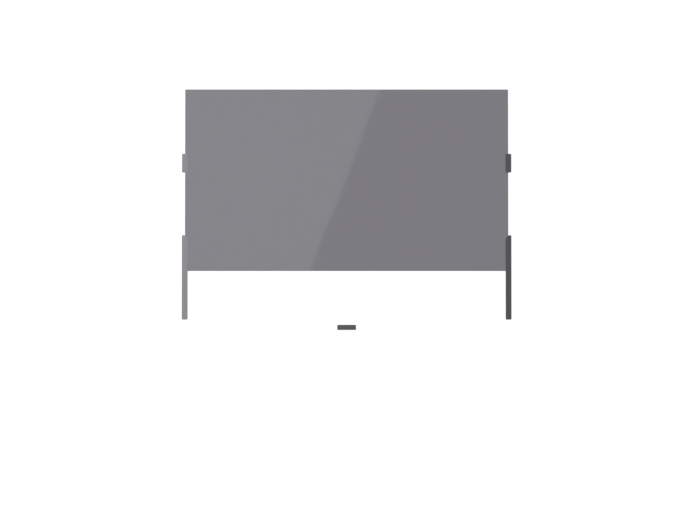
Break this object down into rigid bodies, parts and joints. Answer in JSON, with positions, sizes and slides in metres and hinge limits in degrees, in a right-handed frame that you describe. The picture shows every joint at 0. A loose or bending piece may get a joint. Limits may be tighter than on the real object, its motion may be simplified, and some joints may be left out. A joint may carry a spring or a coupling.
{
  "type": "laptop privacy filter",
  "caption": "Thin smoke-grey see-through sheet for a laptop display, which slides up and down under the lips of flat stick-on guide tabs at its sides and foot.",
  "frame": {"origin": "centre of the sheet's back face, which lies flat, screen side down", "axes": "+X to the right across the screen, +Y up the screen, +Z out of the screen towards the viewer"},
  "size_m": [0.3514, 0.2568, 0.0013],
  "materials": {
    "filter_film": "gloss",
    "tab_strip": "satin",
    "adhesive_foam": "matte"
  },
  "bodies": {
    "guide_tabs": {"tab_upper_left": "tab_strip", "tab_upper_right": "tab_strip", "tab_lower_left": "tab_strip", "tab_lower_right": "tab_strip", "tab_bottom": "tab_strip", "pad_upper_left": "adhesive_foam", "pad_upper_right": "adhesive_foam", "pad_lower_left": "adhesive_foam", "pad_lower_right": "adhesive_foam", "pad_bottom": "adhesive_foam"},
    "filter": {"filter_sheet": "filter_film"}
  },
  "joints": [
    {"name": "filter_slide", "type": "slide", "parent": "guide_tabs", "child": "filter", "axis": [0, 1, 0], "range_m": [-0.061, 0.1254]}
  ]
}
